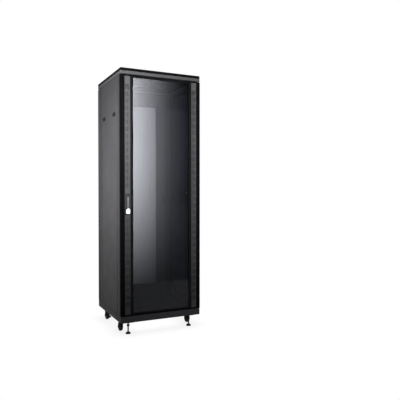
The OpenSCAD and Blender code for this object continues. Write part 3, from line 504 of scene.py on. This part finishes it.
def lock_bezel():
    """Raised rim of the front lock's plate, around the lever's bed, and the two screws that hold it."""
    low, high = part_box("front_lock_plate")
    centre = (low + high) / 2
    front = low.y
    corner = 6
    screw_inset = 11 * MM

    bm = bmesh.new()
    rings = []
    for inset, proud in ((0.6, -0.4), (0.6, 0.9), (1.2, 1.5), (3.0, 1.5), (3.6, 0.9), (3.6, -0.4)):
        outline = rounded_outline(high.x - low.x - 2 * inset * MM, high.z - low.z - 2 * inset * MM,
                                  (corner - inset) * MM)
        rings.append([Vector((centre.x + u, front - proud * MM, centre.z + v)) for u, v in outline])
    loft(bm, rings + rings[:1], capped=False)
    make_piece("lock_bezel", bm, ["black_plastic"], "front_door")
    pan_screw("lock_screw_upper", (centre.x, front, high.z - screw_inset))
    pan_screw("lock_screw_lower", (centre.x, front, low.z + screw_inset))


def pan_screw(name, place):
    """Pan head with a cross recess, on the front of the front door."""
    radius = 3.4 * MM
    dome_steps = 6
    steps = 32

    profile = [(radius, -0.3 * MM)]
    for i in range(dome_steps + 1):
        a = math.pi / 2 * i / dome_steps
        profile.append((radius * (0.45 + 0.55 * math.cos(a)), radius * 0.55 * math.sin(a)))
    angles = [2 * math.pi * i / steps for i in range(steps)]
    rings = [[Vector((r * math.cos(a), r * math.sin(a), h)) for a in angles] for r, h in profile]
    top = profile[-1][1]
    cross = []
    for a in angles:
        arm = abs(math.cos(2 * a)) ** 6
        r = radius * (0.13 + 0.27 * arm)
        cross.append(Vector((r * math.cos(a), r * math.sin(a), top)))
    recess = [Vector((p.x * 0.6, p.y * 0.6, top - radius * 0.4)) for p in cross]
    turn = Vector((0, 0, 1)).rotation_difference(Vector((0, -1, 0))).to_matrix().to_4x4()
    seat = Matrix.Translation(Vector(place)) @ turn

    bm = bmesh.new()
    loft(bm, [[seat @ p for p in ring] for ring in rings + [cross, recess]])
    make_piece(name, bm, ["black_steel"], "front_door")


def latch_grip(end, side):
    """Raised rim and finger ridges on the face of a side latch."""
    node = f"side_latch_{end}_{side}"
    low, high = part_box(node)
    outward = 1 if side == "right" else -1
    face = high.x if side == "right" else low.x
    slide = 1 if end == "rear" else -1
    width, height = high.y - low.y, high.z - low.z
    y, z = (low.y + high.y) / 2, (low.z + high.z) / 2
    corner = height / 2 - 1 * MM
    ridge_width = 1.6
    ridge_height = 11
    ridge_corner = 0.75
    ridge_pitch = 4 * MM

    bm = bmesh.new()
    rings = []
    for inset, proud in ((0.8, -0.3), (0.8, 0.5), (1.4, 1.0), (2.6, 1.0), (3.2, 0.4), (3.2, -0.3)):
        outline = rounded_outline(width - 2 * inset * MM, height - 2 * inset * MM, corner - inset * MM)
        rings.append([Vector((face + outward * proud * MM, y + u, z + v)) for u, v in outline])
    loft(bm, rings + rings[:1], capped=False)
    for i in range(5):
        at = y + slide * (1 - i) * ridge_pitch
        rings = []
        for proud, inset in ((-0.3, 0), (0.7, 0), (1.0, 0.3)):
            outline = rounded_outline((ridge_width - 2 * inset) * MM, (ridge_height - 2 * inset) * MM,
                                      (ridge_corner - inset) * MM, 4)
            rings.append([Vector((face + outward * proud * MM, at + u, z + v)) for u, v in outline])
        loft(bm, rings)
    make_piece(f"latch_grip_{end}_{side}", bm, ["black_plastic"], node)


# ---------------------------------------------------------------- stage, lights and camera


def emissive(name):
    """A material that only shines, with its nodes and its Emission shader."""
    material = bpy.data.materials.new(name)
    material.use_nodes = True
    nodes = Nodes(material.node_tree)
    nodes.tree.nodes.clear()
    light = nodes.add("ShaderNodeEmission")
    out = nodes.add("ShaderNodeOutputMaterial")
    nodes.link(light.outputs[0], out.inputs["Surface"])
    return material, nodes, light


def plane(name, corners, material):
    """Adds a flat piece with four corners to the stage."""
    mesh = bpy.data.meshes.new(name)
    mesh.from_pydata([Vector(c) for c in corners], [], [(0, 1, 2, 3)])
    mesh.materials.append(material)
    piece = bpy.data.objects.new(name, mesh)
    bpy.context.scene.collection.objects.link(piece)
    return piece


def pale_floor():
    """Pale floor that fades into the backdrop, with a soft contact shadow. It throws little light up."""
    reach = 30
    material, nodes, light = emissive("floor_paper")
    occlusion = nodes.add("ShaderNodeAmbientOcclusion", samples=8, Distance=0.12)
    contact = nodes.ramp(occlusion.outputs["AO"], 0.75, 1, 0, 1)
    path = nodes.add("ShaderNodeLightPath")
    in_view = path.outputs["Is Camera Ray"]
    mirrored = path.outputs["Is Glossy Ray"]
    strength = nodes.combine("MULTIPLY", contact, nodes.ramp(in_view, 0.22, 1, 0, 1))
    nodes.link(strength, light.inputs["Strength"])
    matt = nodes.add("ShaderNodeBsdfDiffuse", Color=(0.08, 0.08, 0.08, 1))
    surface = nodes.either(nodes.combine("MAXIMUM", in_view, mirrored), matt, light)
    nodes.link(surface, nodes.tree.nodes["Material Output"].inputs["Surface"])
    corners = [(-reach, -reach, 0), (reach, -reach, 0), (reach, reach, 0), (-reach, reach, 0)]
    plane("floor", corners, material)


def studio_world():
    """White backdrop for the camera, and a dim grey room, lighter overhead, for everything else."""
    world = bpy.data.worlds.new("studio")
    bpy.context.scene.world = world
    world.use_nodes = True
    nodes = Nodes(world.node_tree)
    nodes.tree.nodes.clear()
    white = nodes.add("ShaderNodeBackground", Color=(1, 1, 1, 1))
    room = nodes.add("ShaderNodeBackground", Color=(0.88, 0.92, 1.0, 1))
    split = nodes.add("ShaderNodeSeparateXYZ")
    nodes.link(nodes.add("ShaderNodeTexCoord").outputs["Generated"], split.inputs["Vector"])
    nodes.link(nodes.ramp(split.outputs["Z"], 0.02, 0.30, -0.2, 1), room.inputs["Strength"])
    in_view = nodes.add("ShaderNodeLightPath").outputs["Is Camera Ray"]
    out = nodes.add("ShaderNodeOutputWorld")
    nodes.link(nodes.either(in_view, room, white), out.inputs["Surface"])


def softbox(name, place, target, size, power, spread=math.pi):
    """Lamp that lights things but is never seen, neither directly nor in or through the glass."""
    lamp = bpy.data.lights.new(name, "AREA")
    lamp.shape = "RECTANGLE"
    lamp.size, lamp.size_y = size
    lamp.energy = power
    lamp.spread = spread
    thing = bpy.data.objects.new(name, lamp)
    bpy.context.scene.collection.objects.link(thing)
    thing.location = place
    thing.rotation_euler = (Vector(target) - Vector(place)).to_track_quat("-Z", "Y").to_euler()
    thing.visible_camera = False
    thing.visible_glossy = False
    thing.visible_transmission = False


def reflection_card():
    """Tall softbox that only mirrors: the bright, sharp-edged panel in the door's glass."""
    y = -1.9
    left, edge, right = 0.24, 0.572, 1.05
    bottom, shelf, top = 0.032, 1.874, 2.5
    edge_blur = 0.002
    shelf_blur = 0.004
    material, nodes, light = emissive("card_light")
    split = nodes.add("ShaderNodeSeparateXYZ")
    nodes.link(nodes.add("ShaderNodeTexCoord").outputs["Object"], split.inputs["Vector"])
    across = split.outputs["X"]
    up = split.outputs["Z"]

    def falling(level, power):
        """Falls from level at the left edge to nothing at the right, along a curve."""
        node = nodes.add("ShaderNodeMath", operation="POWER")
        node.inputs[1].default_value = power
        nodes.link(nodes.ramp(across, 1, 0, left, right), node.inputs[0])
        return nodes.ramp(node.outputs[0], 0, level, 0, 1)

    bright = nodes.ramp(across, 18.5, 6.6, left, edge)
    inside = nodes.ramp(across, 1, 0, edge - edge_blur, edge + edge_blur)
    panel = nodes.combine("MAXIMUM", nodes.combine("MULTIPLY", bright, inside), falling(10.5, 2.1))
    below = nodes.ramp(up, 1, 0, shelf - shelf_blur, shelf + shelf_blur)
    lower = nodes.combine("MULTIPLY", panel, below)
    upper = nodes.combine("MULTIPLY", falling(17.8, 2.9), nodes.ramp(below, 1, 0, 0, 1))
    fade = nodes.ramp(up, 0.04, 1, bottom - 0.1, 1.5)
    fade.node.interpolation_type = "SMOOTHSTEP"
    strength = nodes.combine("MULTIPLY", nodes.combine("MAXIMUM", lower, upper), fade)
    nodes.link(strength, light.inputs["Strength"])
    light.inputs["Color"].default_value = (0.90, 0.92, 1.0, 1)
    corners = [(left, y, bottom), (right, y, bottom), (right, y, top), (left, y, top)]
    card = plane("reflection_card", corners, material)
    card.visible_camera = False
    card.visible_diffuse = False
    card.visible_transmission = False
    card.visible_shadow = False


def lights():
    softbox("key_left", place=(-1.3, 0.02, 1.13), target=(-0.3, 0.02, 1.1), size=(0.6, 0.6),
            power=9.2, spread=2.4)
    softbox("key_front", place=(-0.95, -1.25, 1.5), target=(-0.15, -0.3, 1.45), size=(0.5, 0.5),
            power=11, spread=1.6)
    softbox("fill_right", place=(3.2, 0.9, 1.7), target=(0.3, 0, 1.15), size=(1.4, 1.6), power=80)
    softbox("rear_light", place=(0.6, 4.2, 1.9), target=(0, 0.3, 1.15), size=(2, 2), power=110)


def camera():
    """A camera a metre above the floor, to the left of the front door and almost level."""
    turn = math.radians(26.243)
    tilt = math.radians(-0.949)
    lens = bpy.data.cameras.new("camera")
    lens.sensor_width = 36
    lens.lens = 43.39
    eye = bpy.data.objects.new("camera", lens)
    bpy.context.scene.collection.objects.link(eye)
    eye.location = (-1.2629, -3.4712, 0.9876)
    ahead = Vector((math.sin(turn) * math.cos(tilt), math.cos(turn) * math.cos(tilt), math.sin(tilt)))
    eye.rotation_euler = ahead.to_track_quat("-Z", "Y").to_euler()
    bpy.context.scene.camera = eye


finish_nodes()
round_edges()
for end in ENDS:
    for side in SIDES:
        caster_wheel(end, side)
        levelling_foot(end, side)
        latch_grip(end, side)
swing_lever()
lock_bezel()
pale_floor()
studio_world()
reflection_card()
lights()
camera()
bpy.context.scene.view_settings.view_transform = "Standard"

bpy.context.view_layer.update()
